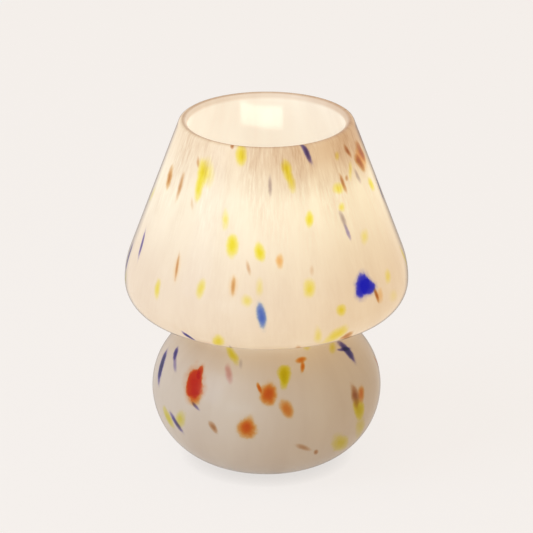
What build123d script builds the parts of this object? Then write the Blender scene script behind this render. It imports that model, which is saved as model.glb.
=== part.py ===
from build123d import *
import os
from math import acos, atan2, cos, radians, sin, sqrt

# A mushroom table lamp. One blown glass body is both the shade and the bowl
# that it stands on. A steel plate sits in its neck on a silicone ring, held by
# three leaf springs, and carries a small screw lampholder with an LED bulb.
# Millimetres. The table is z = 0 and the lamp's axis is Z.

# ---- Glass body, outside ----
overall_height = 227.5
shade_dia = 180.0            # widest part of the shade
mouth_dia = 98.8             # clear opening inside the lip
lip_curve = 3.0              # radius of the fire-polished lip
upper_bulge_curve = 54.2     # shade side, above its widest part
lower_bulge_curve = 18.8     # shade side, below its widest part
underside_curve = 75.8       # long flat curve under the shade
widest_above_neck = 29.3
neck_dia = 94.0
neck_curve = 6.0             # radius of the hollow round the neck
neck_above_equator = 44.6
base_dia = 146.6             # widest part of the bowl
equator_height = 47.9        # of the bowl's widest part, and its lower curve
punt_dia = 44.0              # shallow push-up under the bowl
punt_depth = 1.6

# ---- Glass walls ----
shade_wall = 4.0
neck_wall = 4.5
base_wall = 5.0
bottom_wall = 7.0

# ---- Foot pad and cord inlet ----
pad_thickness = 1.5
pad_inner_dia = 48.0
pad_margin = 3.0             # pad's edge inside the glass foot's edge
inlet_height = 24.0          # of the inlet's centre, on the bowl's outside
inlet_bore = 6.5
grommet_wall = 1.7
grommet_flange = 2.4         # flange beyond the hole
grommet_head = 1.8           # flange thickness
grommet_edge = 0.6           # chamfer round each flange
grommet_fit = 0.1            # rubber inside the hole

# ---- Support plate in the neck ----
plate_thickness = 1.0
plate_overlap = 4.5          # plate's edge beyond the throat of the glass
plate_crown_dia = 42.0       # raised centre
plate_crown_rise = 3.0
crown_slope_run = 4.0
ring_side = 1.4              # silicone outside the plate's edge
ring_lip = 2.4               # silicone over the plate's faces
ring_top = 1.4
ring_toe = 0.6               # silicone under the plate at its outer edge
seat_gap = 0.1               # silicone to glass

# ---- Leaf springs ----
spring_count = 3
spring_width = 8.0
spring_thickness = 0.5
spring_gap = 0.35            # leaf to glass throat
spring_bend = 2.5
spring_foot = 8.5            # flat part under the plate
spring_wrap = 36.0           # degrees that the leaf follows the neck's hollow
spring_tail_turn = 80.0      # degrees of the tail's inward curl
rivet_dia = 3.0
rivet_head_dia = 5.4
rivet_head = 0.9
rivet_clearance = 0.1

# ---- Threaded nipple, nut and washer ----
nipple_dia = 10.0
nipple_bore = 7.2
nipple_below = 9.0           # below the plate's crown
nipple_proud = 1.0           # above the holder's threaded entry
thread_clearance = 0.1
plate_hole_clearance = 0.25
washer_dia = 18.0
washer_thickness = 0.9
washer_teeth = 12
washer_tooth_depth = 1.6
nut_across_flats = 14.0
nut_height = 3.0

# ---- Lampholder ----
holder_dia = 28.0
holder_neck_dia = 17.0
holder_neck_height = 4.0
holder_flare = 6.0           # height of the cap's flare
holder_cap_band = 6.0        # straight band above the flare
holder_wall = 1.8
holder_mouth_dia = 26.0
spigot_clearance = 0.15      # body's spigot inside the cap
barrel_wall = 1.7
barrel_web = 2.5             # joins barrel and skirt
barrel_drop = 0.8            # barrel's top below the skirt's top
insert_dia = 21.0
insert_drop = 3.0            # insert's top below the bulb's tip
contact_strip = 0.4
centre_strip_width = 4.0
side_strip_width = 3.0
strip_clearance = 0.1
side_strip_height = 7.0
terminal_offset = 5.5        # terminal screws either side of the axis
terminal_dia = 2.5
terminal_head_dia = 4.4
terminal_head = 1.2
grub_dia = 3.0
grub_height = 2.2            # above the holder's foot

# ---- Bulb ----
tip_above_cap = 3.4          # bulb's tip above the holder's cap
bulb_length = 78.0
globe_dia = 45.0
globe_wall = 1.2
globe_spigot_dia = 29.0
globe_spigot = 3.0
bulb_thread_dia = 13.1       # mean diameter of the rolled screw thread
bulb_thread_clearance = 0.1
bulb_shell_wall = 0.5
bulb_cap_length = 22.0       # tip to the collar
shell_lip = 1.4
shell_foot = 2.4             # tip to the shell's lower edge
tip_dia = 4.8
tip_thickness = 0.9
insulator_rise = 2.6         # insulator inside the shell
insulator_clearance = 0.1
collar_foot_dia = 17.0
collar_dia = 32.4
collar_wall = 1.5
collar_rim = 2.2             # straight band at the collar's foot
skirt_clearance = 0.4        # collar above the holder's skirt
board_thickness = 1.2
board_gap = 0.15
led_count = 8
led_size = 2.8
led_height = 0.6
led_circle_dia = 18.0
driver_width = 10.6

# ---- Heights and radii worked out from the sizes above ----
neck_z = equator_height + neck_above_equator
widest_z = neck_z + widest_above_neck
throat_r = neck_dia / 2 - neck_wall
hollow_r = neck_curve + neck_wall
neck_centre_r = neck_dia / 2 + neck_curve

plate_r = throat_r + plate_overlap
ring_r = plate_r + ring_side


def seat_z(r):
    """Height of the silicone ring's underside at radius r, over the neck's inner curve."""
    return neck_z + sqrt((hollow_r + seat_gap) ** 2 - (neck_centre_r - r) ** 2)


plate_z = seat_z(ring_r) + ring_toe
crown_z = plate_z + plate_crown_rise
holder_z = crown_z + plate_thickness
neck_top_z = holder_z + holder_neck_height
entry_top_z = neck_top_z + holder_wall
flare_top_z = neck_top_z + holder_flare
cap_top_z = flare_top_z + holder_cap_band
spigot_z = flare_top_z + holder_wall / 2 + spigot_clearance
tip_z = cap_top_z + tip_above_cap
insert_z = tip_z - insert_drop
collar_z = tip_z + bulb_cap_length
skirt_z = collar_z - skirt_clearance
globe_z = tip_z + bulb_length - globe_dia / 2
bore_r = bulb_thread_dia / 2 + bulb_thread_clearance
nipple_r = nipple_dia / 2


# ---- Outlines ----
def pt(r, z):
    """A point of a turned outline at radius r and height z."""
    return Vector(r, 0, z)


def turned(*corners):
    """The solid that a closed outline of (radius, height) corners sweeps round Z."""
    outline = Polyline(*[pt(r, z) for r, z in corners], close=True)
    return revolve(make_face(outline), Axis.Z)


def tube(outer_r, inner_r, low, high):
    """A plain tube round Z."""
    return turned((inner_r, low), (outer_r, low), (outer_r, high), (inner_r, high))


def post(r, low, high, x=0.0, y=0.0):
    """A cylinder parallel to Z."""
    up = (Align.CENTER, Align.CENTER, Align.MIN)
    return Pos(x, y, low) * Cylinder(r, high - low, align=up)


def arc(centre, radius, start, end):
    """Arc of less than half a turn about centre."""
    middle = centre + ((start - centre) + (end - centre)).normalized() * radius
    return ThreePointArc(start, middle, end)


def meeting(first, first_reach, second, second_reach):
    """The point at the two given distances from two points, to the left of their line."""
    span = second - first
    along = span.normalized()
    left = Vector(-along.Z, 0, along.X)
    step = (first_reach ** 2 - second_reach ** 2 + span.length ** 2) / (2 * span.length)
    return first + along * step + left * sqrt(first_reach ** 2 - step ** 2)


def cone_normal(low, low_r, high, high_r):
    """Outward normal of the straight line that touches two circles."""
    span = high - low
    turn = atan2(span.Z, span.X) - acos((low_r - high_r) / span.length)
    return pt(cos(turn), sin(turn))


# ---- Glass body and what it stands on ----
def glass_side(shade_in, neck_in, base_in, lip_side):
    """Edges of one face of the glass, from the bowl's equator up to the lip.

    The face lies inside the outer one by three wall thicknesses. Each arc
    touches the next one smoothly. lip_side is 1 for the outer face, -1 inside.
    """
    equator = pt(base_dia / 2 - base_in, equator_height)
    hollow = neck_curve + neck_in
    neck = pt(neck_centre_r, neck_z)
    run = equator.X - neck.X
    shoulder = (run ** 2 + neck_above_equator ** 2 - hollow ** 2) / (2 * (hollow + run))
    shoulder_centre = pt(equator.X - shoulder, equator_height)
    neck_low = neck + (shoulder_centre - neck).normalized() * hollow

    lower = lower_bulge_curve - shade_in
    lower_centre = pt(shade_dia / 2 - lower_bulge_curve, widest_z)
    under = underside_curve - shade_in
    under_centre = meeting(neck, under + hollow, lower_centre, under - lower)
    neck_high = neck + (under_centre - neck).normalized() * hollow
    bulge_low = under_centre + (lower_centre - under_centre).normalized() * under
    widest = pt(shade_dia / 2 - shade_in, widest_z)

    upper = upper_bulge_curve - shade_in
    upper_centre = pt(shade_dia / 2 - upper_bulge_curve, widest_z)
    lip = lip_centre()
    normal = cone_normal(upper_centre, upper, lip, lip_side * lip_curve)
    cone_low = upper_centre + normal * upper
    cone_high = lip + normal * lip_side * lip_curve
    return [
        arc(shoulder_centre, shoulder, equator, neck_low),
        arc(neck, hollow, neck_low, neck_high),
        arc(under_centre, under, neck_high, bulge_low),
        arc(lower_centre, lower, bulge_low, widest),
        arc(upper_centre, upper, widest, cone_low),
        Line(cone_low, cone_high),
    ]


def lip_centre():
    return pt(mouth_dia / 2 + lip_curve, overall_height - lip_curve)


def foot_radius():
    """Outer radius of the flat that the pad is glued to."""
    centre_r = base_dia / 2 - equator_height
    return centre_r + sqrt(equator_height ** 2 - (equator_height - pad_thickness) ** 2)


def bowl_bottom():
    """Edges under the bowl, from the axis out to the equator."""
    punt_top = pt(0, pad_thickness + punt_depth)
    punt_edge = pt(punt_dia / 2, pad_thickness)
    foot_edge = pt(foot_radius(), pad_thickness)
    bowl_centre = pt(base_dia / 2 - equator_height, equator_height)
    equator = pt(base_dia / 2, equator_height)
    return [
        TangentArc(punt_top, punt_edge, tangent=(1, 0, 0)),
        Line(punt_edge, foot_edge),
        arc(bowl_centre, equator_height, foot_edge, equator),
    ]


def bowl_floor():
    """Edges inside the bowl, from its equator down to the axis."""
    floor_z = pad_thickness + bottom_wall
    curve = equator_height - floor_z
    centre = pt(base_dia / 2 - base_wall - curve, equator_height)
    low = pt(centre.X, floor_z)
    return [
        arc(centre, curve, pt(centre.X + curve, equator_height), low),
        Line(low, pt(0, floor_z)),
        Line(pt(0, floor_z), pt(0, pad_thickness + punt_depth)),
    ]


def lip_round(outer_end, inner_end):
    """The lip's two arcs, over its top."""
    centre = lip_centre()
    top = pt(centre.X, overall_height)
    return [arc(centre, lip_curve, outer_end, top), arc(centre, lip_curve, top, inner_end)]


def inlet_plane():
    """Plane on the bowl's outside at the cord inlet, facing straight out of the glass."""
    centre_r = base_dia / 2 - equator_height
    fall = equator_height - inlet_height
    reach = sqrt(equator_height ** 2 - fall ** 2)
    out = Vector(0, reach, -fall).normalized()
    return Plane(origin=(0, centre_r + reach, inlet_height), x_dir=(1, 0, 0), z_dir=out)


def inlet_wall(reach):
    """Glass along the inlet's axis, and room for a flat flange of radius reach inside it."""
    slope = (equator_height - inlet_height) / equator_height
    inner_curve = equator_height - pad_thickness - bottom_wall
    shift = equator_height - base_wall - inner_curve
    across = shift * sqrt(1 - slope ** 2)
    drop = sqrt(inner_curve ** 2 - (reach + shift * slope) ** 2)
    return equator_height - across - drop


def make_glass_body():
    outer = glass_side(0, 0, 0, 1)
    inner = glass_side(shade_wall, neck_wall, base_wall, -1)
    lip = lip_round(outer[-1] @ 1, inner[-1] @ 1)
    outline = make_face(bowl_bottom() + outer + lip + inner + bowl_floor())
    body = revolve(outline, Axis.Z)
    drill = Cylinder(inlet_bore / 2 + grommet_wall, 4 * base_wall)
    return body - inlet_plane() * drill


def make_foot_pad():
    return tube(foot_radius() - pad_margin, pad_inner_dia / 2, 0, pad_thickness)


def make_cord_grommet():
    """A moulded grommet with a flat flange each side of the glass and a smooth bore."""
    bore_radius = inlet_bore / 2
    hole_r = bore_radius + grommet_wall
    shank_r = hole_r - grommet_fit
    flange_r = hole_r + grommet_flange
    outer_seat = -hole_r ** 2 / (2 * base_dia)
    inner_seat = -inlet_wall(flange_r) - grommet_fit
    outer_face = outer_seat + grommet_head
    inner_face = inner_seat - grommet_head
    shape = turned(
        (bore_radius, inner_face), (flange_r - grommet_edge, inner_face),
        (flange_r, inner_face + grommet_edge), (flange_r, inner_seat), (shank_r, inner_seat),
        (shank_r, outer_seat), (flange_r, outer_seat), (flange_r, outer_face - grommet_edge),
        (flange_r - grommet_edge, outer_face), (bore_radius, outer_face),
    )
    return inlet_plane() * shape


# ---- Plate, silicone ring and springs in the neck ----
def make_support_plate():
    crown_r = plate_crown_dia / 2
    slope_r = crown_r + crown_slope_run
    plate = turned(
        (nipple_r + plate_hole_clearance, crown_z), (crown_r, crown_z),
        (slope_r, plate_z), (plate_r, plate_z), (plate_r, plate_z + plate_thickness),
        (slope_r, plate_z + plate_thickness), (crown_r, holder_z),
        (nipple_r + plate_hole_clearance, holder_z),
    )
    holes = PolarLocations(rivet_r(), spring_count) * Cylinder(
        rivet_dia / 2 + rivet_clearance, 4 * plate_crown_rise)
    return plate - [Pos(0, 0, plate_z) * hole for hole in holes]


def make_plate_ring():
    """U-shaped ring on the plate's edge, whose underside follows the neck's inner curve."""
    inner_r = plate_r - ring_lip
    toe = pt(inner_r, seat_z(inner_r))
    heel = pt(ring_r, seat_z(ring_r))
    top_z = plate_z + plate_thickness + ring_top
    upper = plate_z + plate_thickness
    rest = Polyline(heel, pt(ring_r, top_z), pt(inner_r, top_z), pt(inner_r, upper),
                    pt(plate_r, upper), pt(plate_r, plate_z), pt(inner_r, plate_z), toe)
    under = arc(pt(neck_centre_r, neck_z), hollow_r + seat_gap, toe, heel)
    return revolve(make_face([under, rest]), Axis.Z)


def spring_leg_r():
    """Radius of the middle of the leaf where it stands in the throat."""
    return throat_r - spring_gap - spring_thickness / 2


def rivet_r():
    """Radius of the rivets, in the middle of the leaf's flat foot."""
    return spring_leg_r() - spring_bend - spring_foot / 2


def make_spring(angle):
    """A leaf: flat foot, bend, leg through the throat, wrap round the hollow and tail."""
    leg_r = spring_leg_r()
    foot_z = plate_z - spring_thickness / 2
    foot = pt(leg_r - spring_bend - spring_foot, foot_z)
    bend = pt(leg_r - spring_bend, foot_z)
    leg_top = pt(leg_r, foot_z - spring_bend)
    leg_low = pt(leg_r, neck_z)
    neck = pt(neck_centre_r, neck_z)
    wrap_r = neck_centre_r - leg_r
    wrap = radians(spring_wrap)
    wrap_end = neck - pt(cos(wrap), sin(wrap)) * wrap_r
    tail_centre = wrap_end - pt(cos(wrap), sin(wrap)) * spring_bend
    curl = radians(spring_tail_turn) - wrap
    tail_end = tail_centre + pt(cos(curl), -sin(curl)) * spring_bend
    path = Wire([
        Line(foot, bend),
        arc(pt(bend.X, leg_top.Z), spring_bend, bend, leg_top),
        Line(leg_top, leg_low),
        arc(neck, wrap_r, leg_low, wrap_end),
        arc(tail_centre, spring_bend, wrap_end, tail_end),
    ])
    start = Plane(origin=foot, x_dir=(0, 1, 0), z_dir=(1, 0, 0))
    leaf = sweep(start * Rectangle(spring_width, spring_thickness), path)
    hole = Pos(rivet_r(), 0, foot_z) * Cylinder(rivet_dia / 2 + rivet_clearance, spring_bend)
    return Rot(0, 0, angle) * (leaf - hole)


def make_rivets():
    """One rivet for each leaf, its heads over the plate and under the leaf."""
    low = plate_z - spring_thickness
    high = plate_z + plate_thickness
    rivet = turned(
        (0, low - rivet_head), (rivet_dia / 2, low - rivet_head),
        (rivet_head_dia / 2, low), (rivet_dia / 2, low), (rivet_dia / 2, high),
        (rivet_head_dia / 2, high), (rivet_dia / 2, high + rivet_head), (0, high + rivet_head),
    )
    return Compound(list(PolarLocations(rivet_r(), spring_count) * rivet))


def make_nipple():
    return tube(nipple_r, nipple_bore / 2, crown_z - nipple_below, entry_top_z + nipple_proud)


def make_toothed_washer():
    """A flat washer with locking teeth cut round its edge."""
    washer = tube(washer_dia / 2, nipple_r + plate_hole_clearance,
                  crown_z - washer_thickness, crown_z)
    gap = Box(washer_tooth_depth * 2, washer_tooth_depth, 3 * washer_thickness)
    gaps = PolarLocations(washer_dia / 2, washer_teeth) * gap
    return washer - [Pos(0, 0, crown_z) * notch for notch in gaps]


def make_lock_nut():
    top = crown_z - washer_thickness
    hexagon = RegularPolygon(nut_across_flats / 2, 6, major_radius=False)
    blank = Pos(0, 0, top - nut_height) * extrude(hexagon, nut_height)
    return blank - post(nipple_r + thread_clearance, top - 2 * nut_height, top + 1)


# ---- Lampholder ----
def cap_funnel():
    """Lower and upper ends of the flare's inner face, where the insert sits."""
    low = pt(holder_neck_dia / 2 - holder_wall / 2, entry_top_z)
    high = pt(holder_dia / 2 - holder_wall, flare_top_z + holder_wall / 2)
    return low, high


def make_holder_cap():
    """Cup on the nipple, with a threaded neck and a flare to the holder's full width."""
    outer_r = holder_dia / 2
    neck_r = holder_neck_dia / 2
    entry_r = nipple_r + thread_clearance
    low, high = cap_funnel()
    cup = turned(
        (entry_r, holder_z), (neck_r, holder_z), (neck_r, neck_top_z),
        (outer_r - holder_wall / 2, flare_top_z - holder_wall), (outer_r, flare_top_z),
        (outer_r, cap_top_z), (high.X, cap_top_z), (high.X, high.Z), (low.X, low.Z),
        (entry_r, entry_top_z),
    )
    return cup - grub_hole(grub_dia / 2 + thread_clearance)


def grub_hole(radius):
    """Radial cylinder through one side of the cap's neck."""
    reach = holder_neck_dia / 2
    at = Plane(origin=(0, -reach, holder_z + grub_height), x_dir=(1, 0, 0), z_dir=(0, 1, 0))
    length = reach - nipple_r - 2 * thread_clearance
    return at * Cylinder(radius, length, align=(Align.CENTER, Align.CENTER, Align.MIN))


def make_grub_screw():
    """Slotted screw that locks the holder on the nipple."""
    slot = Pos(0, -holder_neck_dia / 2, holder_z + grub_height) * Box(grub_dia * 2, 1.4, 0.5)
    return grub_hole(grub_dia / 2) - slot


def make_holder_body():
    """Skirt and threaded barrel in one moulding, with a spigot down inside the cap."""
    outer_r = holder_dia / 2
    mouth_r = holder_mouth_dia / 2
    spigot_r = outer_r - holder_wall - spigot_clearance
    barrel_r = bore_r + barrel_wall
    web_top = insert_z + barrel_web
    pocket_r = insert_dia / 2 + spigot_clearance
    barrel_top = skirt_z - barrel_drop
    body = turned(
        (bore_r, insert_z), (pocket_r, insert_z), (pocket_r, spigot_z), (spigot_r, spigot_z),
        (spigot_r, cap_top_z), (outer_r, cap_top_z), (mouth_r, skirt_z),
        (mouth_r - holder_wall, skirt_z), (outer_r - holder_wall, web_top),
        (barrel_r, web_top), (barrel_r, barrel_top), (bore_r, barrel_top),
    )
    slot_depth = side_strip_r() + contact_strip / 2 + strip_clearance
    slot = Pos(0, 0, insert_z) * Box(
        slot_depth, side_strip_width + 2 * strip_clearance,
        side_strip_height + strip_clearance,
        align=(Align.MIN, Align.CENTER, Align.MIN))
    return body - slot


def insert_low_z():
    """Underside of the insert, just clear of the cap's funnel."""
    low, high = cap_funnel()
    share = (insert_dia / 2 - low.X) / (high.X - low.X)
    return low.Z + (high.Z - low.Z) * share + spigot_clearance


def make_holder_insert():
    """Moulded block that carries the contacts, with two terminal screw holes."""
    block = post(insert_dia / 2, insert_low_z(), insert_z)
    for x in (-terminal_offset, terminal_offset):
        block -= post(terminal_dia / 2 + strip_clearance, insert_low_z() - 1, insert_z + 1, x)
    return block


def make_terminal_screws():
    low = insert_low_z()
    screw = turned(
        (0, low - terminal_head), (terminal_head_dia / 2, low - terminal_head),
        (terminal_head_dia / 2, low), (terminal_dia / 2, low), (terminal_dia / 2, insert_z),
        (0, insert_z),
    )
    slot = Pos(0, 0, low - terminal_head) * Box(terminal_head_dia * 1.2, 0.6, 1.0)
    screw -= slot
    return Compound([Pos(-terminal_offset, 0, 0) * screw, Pos(terminal_offset, 0, 0) * screw])


def bent_strip(points, width):
    """Flat strip of the contacts' thickness along a bent line of (x, z) points."""
    path = Polyline(*[pt(x, z) for x, z in points])
    along = (path @ 0.001 - path @ 0).normalized()
    start = Plane(origin=path @ 0, x_dir=(0, 1, 0), z_dir=along)
    return sweep(start * Rectangle(width, contact_strip), path, transition=Transition.RIGHT)


def make_centre_contact():
    """Sprung tongue from the left terminal up to the bulb's tip."""
    low = insert_z + contact_strip / 2
    high = tip_z - strip_clearance - contact_strip / 2
    return bent_strip([
        (-terminal_offset - contact_strip, low), (-tip_dia * 0.75, low),
        (-tip_dia / 3, high), (tip_dia / 3, high),
    ], centre_strip_width)


def side_strip_r():
    """Radius of the middle of the side contact's upright leg."""
    return bore_r + contact_strip / 2


def make_side_contact():
    """Strip from the right terminal, bent up beside the bulb's screw shell."""
    low = insert_z + contact_strip / 2
    leg = side_strip_r()
    return bent_strip([(leg - tip_dia / 2, low), (leg, low), (leg, insert_z + side_strip_height)],
                      side_strip_width)


# ---- Bulb ----
def make_bulb_tip():
    """Soldered button at the bulb's end."""
    r = tip_dia / 2
    return turned((0, tip_z), (r * 0.6, tip_z), (r, tip_z + tip_thickness / 2),
                  (r, tip_z + tip_thickness), (0, tip_z + tip_thickness))


def shell_bore_r():
    return bulb_thread_dia / 2 - bulb_shell_wall


def make_bulb_insulator():
    """Glass-filled cone between the tip and the screw shell."""
    foot_z = tip_z + shell_foot
    throat = shell_bore_r() - shell_lip
    plug = shell_bore_r() - insulator_clearance
    shoulder = foot_z + bulb_shell_wall + insulator_clearance / 2
    return turned(
        (0, tip_z + tip_thickness), (tip_dia / 2, tip_z + tip_thickness),
        (throat - insulator_clearance, foot_z), (throat - insulator_clearance, shoulder),
        (plug, shoulder), (plug, foot_z + insulator_rise), (0, foot_z + insulator_rise),
    )


def make_bulb_shell():
    """Rolled screw shell, plain at its mean diameter, with its end turned in."""
    foot_z = tip_z + shell_foot
    r = bulb_thread_dia / 2
    inner = shell_bore_r()
    return turned(
        (inner - shell_lip, foot_z), (r - bulb_shell_wall, foot_z), (r, foot_z + bulb_shell_wall),
        (r, collar_z), (inner, collar_z), (inner, foot_z + bulb_shell_wall),
        (inner - shell_lip, foot_z + bulb_shell_wall),
    )


def globe_seat_z():
    """Height where the globe meets the collar's top."""
    return globe_z - sqrt((globe_dia / 2) ** 2 - (collar_dia / 2 - collar_wall / 2) ** 2)


def make_bulb_collar():
    """White housing that swells from the screw shell to the globe."""
    foot_r = collar_foot_dia / 2
    top_r = collar_dia / 2
    top_z = globe_seat_z()
    ledge_z = top_z - globe_spigot - board_thickness - board_gap
    pocket_r = globe_spigot_dia / 2 + board_gap
    waist_z = collar_z + collar_rim
    return turned(
        (shell_bore_r(), collar_z), (foot_r, collar_z), (foot_r, waist_z),
        (top_r, ledge_z - collar_wall / 2), (top_r, top_z), (pocket_r, top_z),
        (pocket_r, ledge_z),
        (pocket_r - collar_wall, ledge_z), (shell_bore_r(), collar_z + collar_wall),
    )


def make_globe():
    """Frosted ball with a short spigot down into the collar."""
    seat = globe_seat_z()
    ball = Pos(0, 0, globe_z) * Sphere(globe_dia / 2)
    spigot_r = globe_spigot_dia / 2
    ball -= Pos(0, 0, seat) * Box(2 * globe_dia, 2 * globe_dia, globe_dia,
                                  align=(Align.CENTER, Align.CENTER, Align.MAX))
    ball += post(spigot_r, seat - globe_spigot, seat)
    ball -= Pos(0, 0, globe_z) * Sphere(globe_dia / 2 - globe_wall)
    return ball - post(spigot_r - globe_wall, seat - 2 * globe_spigot, seat + globe_wall)


def led_board_z():
    """Underside of the board, on the collar's ledge."""
    return globe_seat_z() - globe_spigot - board_thickness - board_gap


def make_led_board():
    low = led_board_z()
    return post(globe_spigot_dia / 2 - board_gap, low, low + board_thickness)


def make_leds():
    chip = Box(led_size, led_size, led_height, align=(Align.CENTER, Align.CENTER, Align.MIN))
    top = led_board_z() + board_thickness
    return Compound([Pos(0, 0, top) * led
                     for led in PolarLocations(led_circle_dia / 2, led_count) * chip])


def make_driver_board():
    """Upright circuit board inside the shell and collar, under the LED board."""
    low = tip_z + shell_foot + insulator_rise + 2 * insulator_clearance
    height = led_board_z() - low
    return Pos(0, 0, low) * Box(driver_width, board_thickness, height,
                                align=(Align.CENTER, Align.CENTER, Align.MIN))


# ---- Every piece, by name ----
def make_pieces():
    pieces = {
        "glass_body": make_glass_body(),
        "foot_pad": make_foot_pad(),
        "cord_grommet": make_cord_grommet(),
        "support_plate": make_support_plate(),
        "plate_ring": make_plate_ring(),
        "spring_rivets": make_rivets(),
        "threaded_nipple": make_nipple(),
        "toothed_washer": make_toothed_washer(),
        "lock_nut": make_lock_nut(),
        "holder_cap": make_holder_cap(),
        "holder_grub_screw": make_grub_screw(),
        "holder_body": make_holder_body(),
        "holder_insert": make_holder_insert(),
        "terminal_screws": make_terminal_screws(),
        "centre_contact": make_centre_contact(),
        "side_contact": make_side_contact(),
        "bulb_tip": make_bulb_tip(),
        "bulb_insulator": make_bulb_insulator(),
        "bulb_shell": make_bulb_shell(),
        "bulb_collar": make_bulb_collar(),
        "bulb_globe": make_globe(),
        "led_board": make_led_board(),
        "led_chips": make_leds(),
        "driver_board": make_driver_board(),
    }
    for index in range(spring_count):
        pieces[f"leaf_spring_{index + 1}"] = make_spring(360 / spring_count * index)
    return pieces


os.makedirs("parts", exist_ok=True)
for name, piece in make_pieces().items():
    export_step(piece, f"parts/{name}.step")
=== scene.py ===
from math import acos, asin, atan2, cos, pi, radians, sin, sqrt

import bpy
import numpy as np
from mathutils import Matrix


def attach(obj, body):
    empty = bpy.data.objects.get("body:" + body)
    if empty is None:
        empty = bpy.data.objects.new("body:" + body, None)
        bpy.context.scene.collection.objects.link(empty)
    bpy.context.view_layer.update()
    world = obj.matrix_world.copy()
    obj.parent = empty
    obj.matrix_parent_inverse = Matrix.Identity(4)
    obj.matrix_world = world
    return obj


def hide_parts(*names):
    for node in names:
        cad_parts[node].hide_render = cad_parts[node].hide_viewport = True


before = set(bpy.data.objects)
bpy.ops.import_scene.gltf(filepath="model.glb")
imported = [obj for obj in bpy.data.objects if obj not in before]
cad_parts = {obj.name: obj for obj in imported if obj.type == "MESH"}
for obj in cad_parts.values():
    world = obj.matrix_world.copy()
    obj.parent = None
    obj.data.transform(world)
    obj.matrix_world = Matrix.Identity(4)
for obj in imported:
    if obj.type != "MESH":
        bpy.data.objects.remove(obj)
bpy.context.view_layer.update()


# ---- View of the lamp ----
# The camera stands a little over two metres from the lamp and looks down on it through a
# long lens, so that the shade hides its neck and only the far inner wall shows in its mouth.
camera_distance = 2.2
camera_pitch = radians(21.65)
aim_height = 0.1284
lens_length = 234.2


def placed(name, data):
    """A new object in the scene."""
    made = bpy.data.objects.new(name, data)
    bpy.context.collection.objects.link(made)
    return made


camera = placed("camera", bpy.data.cameras.new("camera"))
camera.data.sensor_width = 36.0
camera.data.lens = lens_length
camera.data.clip_end = 20.0
camera.location = (0, -camera_distance * cos(camera_pitch),
                   aim_height + camera_distance * sin(camera_pitch))
camera.rotation_euler = (pi / 2 - camera_pitch, 0, 0)
bpy.context.scene.camera = camera
bpy.context.scene.view_settings.view_transform = "Standard"


# ---- Table and light ----
# A pale paper sweep in a warm, even room, with a tall cool softbox to the left, a weak lamp
# in front, and a small one above the mouth that throws the patch on the far inner wall. The
# paper shows its own colour, part of the shadow, and a painted contact shadow under the bowl.
paper = (0.913, 0.871, 0.838, 1)
open_light = np.array([0.91, 0.84, 0.77, 1])
shadow_share = 0.10
contact_shadow_reach, contact_shadow_dark = 0.009, 0.85
room_light = (0.77, 0.62, 0.435, 1)
softbox_power = 23.0
softbox_colour = (0.44, 0.66, 1.0)
softbox_size = (0.9, 2.4)
softbox_direction = np.array([-0.705, -0.397, 0.62])
softbox_distance = 2.0
fill_power = 4.0
fill_colour = (0.56, 0.86, 1.0)
fill_size = (1.0, 0.5)
fill_direction = np.array([-0.42, -0.88, 0.12])
patch_centre = np.array([-0.003, 0.0545, 0.2103])
patch_direction = np.array([-0.05, -0.80, 0.72])
patch_size = (0.0265, 0.008)
patch_distance, patch_power, patch_spread = 0.20, 0.00055, radians(1)
paper_half = 6.0


def put(tree, kind, inputs=None, **settings):
    """Adds a shader node; inputs maps its sockets to values, sockets or other nodes."""
    made = tree.nodes.new("ShaderNode" + kind)
    for name, value in settings.items():
        setattr(made, name, value)
    for key, value in (inputs or {}).items():
        if isinstance(value, bpy.types.Node):
            value = value.outputs[0]
        if isinstance(value, bpy.types.NodeSocket):
            tree.links.new(value, made.inputs[key])
        else:
            made.inputs[key].default_value = value
    return made


def new_material(name):
    """A material with an empty node tree, and that tree."""
    material = bpy.data.materials.new(name)
    material.use_nodes = True
    material.node_tree.nodes.clear()
    return material, material.node_tree


def maths(tree, operation, first, second):
    """One value worked out from two."""
    return put(tree, "Math", {0: first, 1: second}, operation=operation).outputs[0]


def product(tree, first, second):
    """Product of two values."""
    return maths(tree, "MULTIPLY", first, second)


def blended(tree, share, first, second):
    """Colour between first and second by share."""
    return put(tree, "Mix", {0: share, 6: first, 7: second}, data_type="RGBA").outputs[2]


def looked_at(tree):
    """1 for camera, glossy and transmission rays, 0 for the rays that carry light."""
    path = put(tree, "LightPath")
    seen = maths(tree, "MAXIMUM", path.outputs["Is Camera Ray"], path.outputs["Is Glossy Ray"])
    return maths(tree, "MAXIMUM", seen, path.outputs["Is Transmission Ray"])


def make_world():
    world = bpy.data.worlds.new("room")
    world.use_nodes = True
    tree = world.node_tree
    tree.nodes.clear()
    colour = blended(tree, looked_at(tree), room_light, paper)
    put(tree, "OutputWorld", {"Surface": put(tree, "Background", {"Color": colour})})
    bpy.context.scene.world = world


def make_paper():
    mesh = bpy.data.meshes.new("paper")
    corners = np.array([(-1, -1, 0), (1, -1, 0), (1, 1, 0), (-1, 1, 0)]) * paper_half
    mesh.from_pydata(corners, [], [(0, 1, 2, 3)])
    sweep = placed("paper", mesh)
    material, tree = new_material("paper")
    lit = put(tree, "BsdfDiffuse", {"Color": paper})
    evened = np.array(paper) * (1 - shadow_share * open_light) / (1 - shadow_share)
    # Painted contact shadow: ambient occlusion darkens the paper's emitted colour under the bowl.
    near = put(tree, "AmbientOcclusion", {"Distance": contact_shadow_reach}, samples=4).outputs["AO"]
    plain = put(tree, "Emission", {"Color": blended(tree, near, evened * contact_shadow_dark, evened)})
    share = product(tree, looked_at(tree), 1 - shadow_share)
    shader = put(tree, "MixShader", {0: share, 1: lit, 2: plain})
    put(tree, "OutputMaterial", {"Surface": shader})
    mesh.materials.append(material)


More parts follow.
